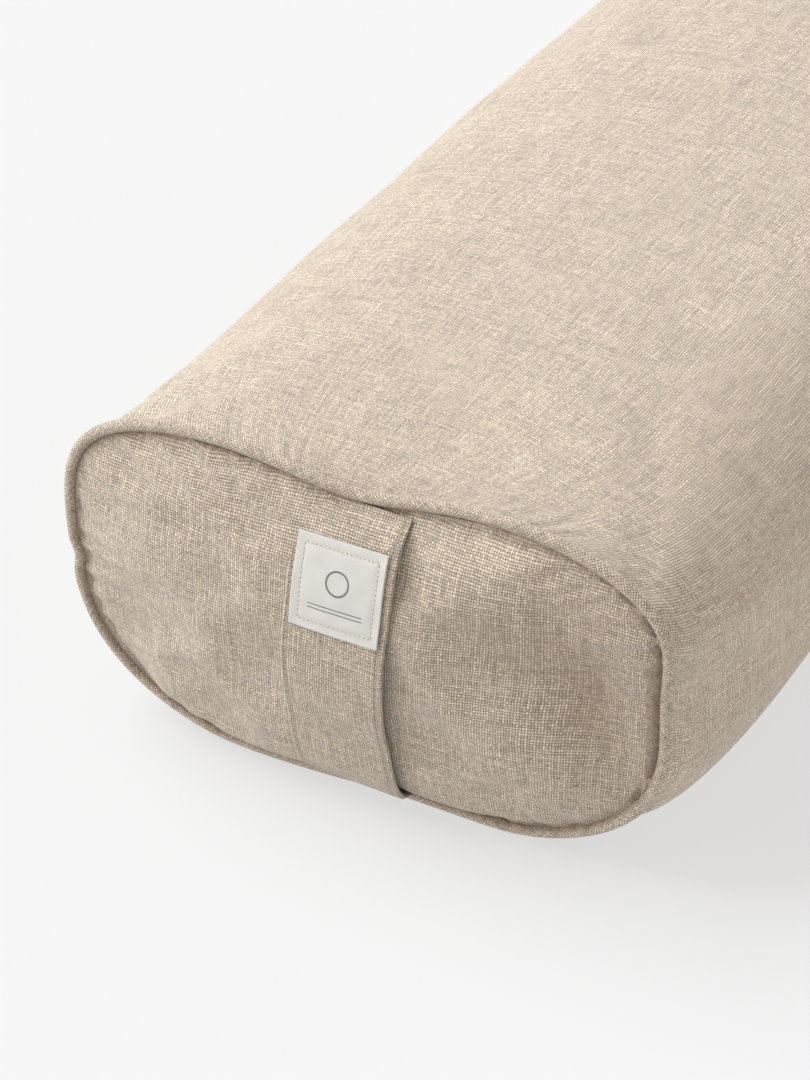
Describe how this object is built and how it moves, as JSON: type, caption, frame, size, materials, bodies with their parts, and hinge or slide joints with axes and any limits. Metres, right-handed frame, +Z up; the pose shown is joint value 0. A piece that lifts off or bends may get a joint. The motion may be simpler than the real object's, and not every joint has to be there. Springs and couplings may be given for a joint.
{
  "type": "bolster pillow",
  "caption": "Firm rectangular yoga bolster with soft corners, a piped linen cover, a zip on one long side and a carry strap with a label on one end.",
  "frame": {"origin": "on the floor, under the middle of the cushion, at the centre of the face it rests on", "axes": "+Z up, long axis along Y with the carry handle at the -Y end, zip on the -X side"},
  "size_m": [0.3191, 0.6604, 0.187],
  "materials": {
    "linen": "plain-woven natural linen, matt",
    "piping_linen": "the same linen cut on the bias",
    "strap_linen": "the same linen, folded",
    "cotton_cord": "soft cotton cord",
    "zip_tape": "woven polyester tape",
    "zip_teeth": "dyed nylon coil",
    "slider_metal": "satin nickel",
    "thread": "spun polyester thread",
    "inner_cotton": "unbleached cotton",
    "cotton_thread": "cotton thread",
    "filling": "soft fibre",
    "label_cloth": "cream woven cotton",
    "label_thread": "cotton thread"
  },
  "bodies": {
    "cover": {"body_panel": "linen", "front_end_panel": "linen", "rear_end_panel": "linen", "front_piping_casing": "piping_linen", "rear_piping_casing": "piping_linen", "front_piping_cord": "cotton_cord", "rear_piping_cord": "cotton_cord", "zip_tape_upper": "zip_tape", "zip_tape_lower": "zip_tape", "zip_teeth_upper": "zip_teeth", "zip_teeth_lower": "zip_teeth", "zip_top_stop": "zip_teeth", "zip_bottom_stop": "zip_teeth", "zip_topstitching": "thread", "inner_case_body": "inner_cotton", "inner_case_front_end": "inner_cotton", "inner_case_rear_end": "inner_cotton", "inner_case_closing_stitches": "cotton_thread", "filling": "filling"},
    "handle": {"carry_handle": "strap_linen", "handle_edge_stitching": "thread", "fabric_label": "label_cloth", "label_stitching": "label_thread"},
    "zip_slider": {"zip_slider": "slider_metal"},
    "zip_pull": {"zip_pull": "slider_metal"}
  },
  "joints": [
    {"name": "handle_lift", "type": "slide", "parent": "cover", "child": "handle", "axis": [0, -1, 0], "range_m": [0, 0.015]},
    {"name": "zip_slide", "type": "slide", "parent": "cover", "child": "zip_slider", "axis": [0, 1, 0], "range_m": [0, 0.372]},
    {"name": "zip_pull_swing", "type": "hinge", "parent": "zip_slider", "child": "zip_pull", "pos_m": [-0.1597, -0.186, 0.0935], "axis": [0, 0, 1], "range_deg": [0, 165]}
  ]
}
